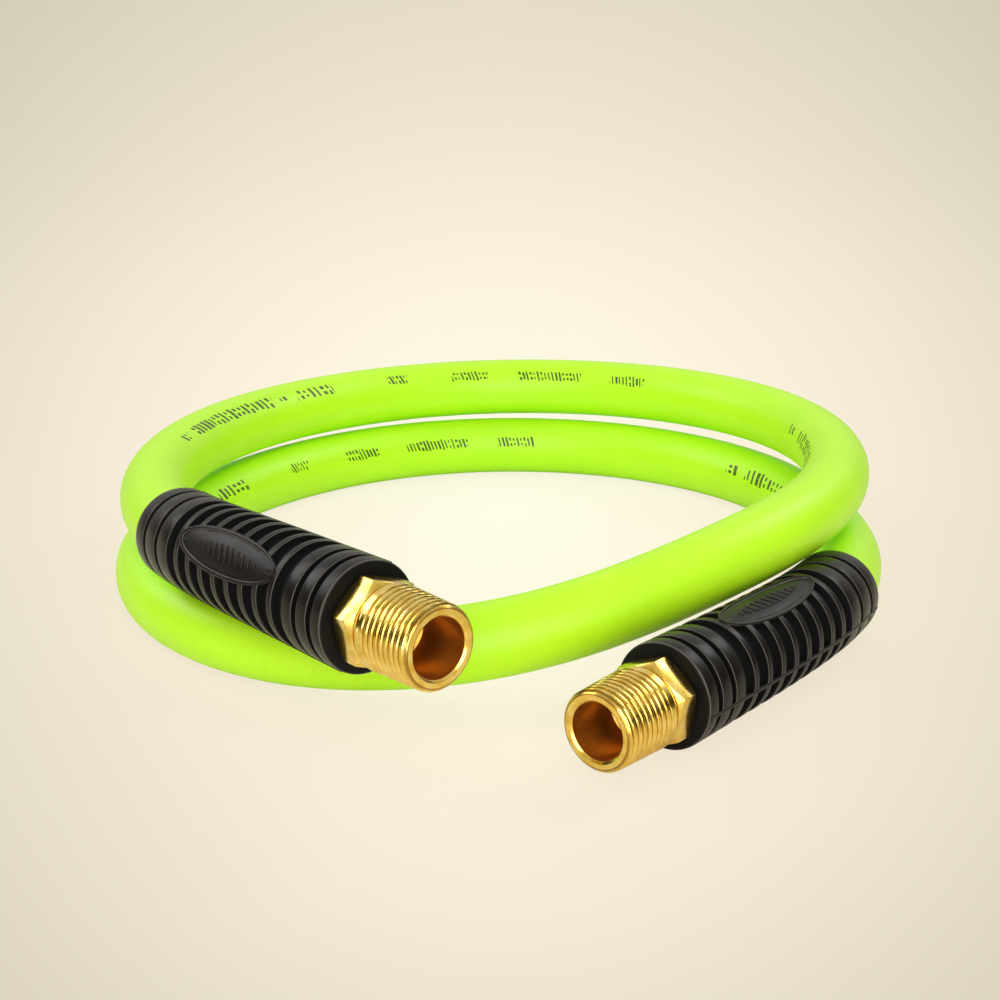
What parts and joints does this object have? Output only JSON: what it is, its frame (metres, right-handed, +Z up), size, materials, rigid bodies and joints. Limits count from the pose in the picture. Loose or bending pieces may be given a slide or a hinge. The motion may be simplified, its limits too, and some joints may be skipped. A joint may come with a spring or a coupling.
{
  "type": "coiled air hose",
  "caption": "Bright green air hose lying in a loose double loop, with a brass pipe fitting and a black ribbed bend restrictor on each end.",
  "frame": {"origin": "on the ground, under the middle of the bounding box of the coil as it lies", "axes": "+Z up, square to the plane of the coil; +Y from the two fittings towards the far side of the coil, +X to the right"},
  "size_m": [0.2339, 0.2985, 0.0543],
  "materials": {
    "hose_cover": "lime green, soft satin",
    "hose_reinforcement": "woven yarn",
    "hose_inner_tube": "smooth",
    "fitting_brass": "machined, bright",
    "ferrule_brass": "drawn and crimped",
    "boot_rubber": "moulded, satin black"
  },
  "bodies": {
    "root": {"hose_cover": "hose_cover", "hose_reinforcement": "hose_reinforcement", "hose_inner_tube": "hose_inner_tube", "fitting_a": "fitting_brass", "fitting_b": "fitting_brass", "ferrule_a": "ferrule_brass", "ferrule_b": "ferrule_brass", "bend_restrictor_a": "boot_rubber", "bend_restrictor_b": "boot_rubber"}
  },
  "joints": []
}
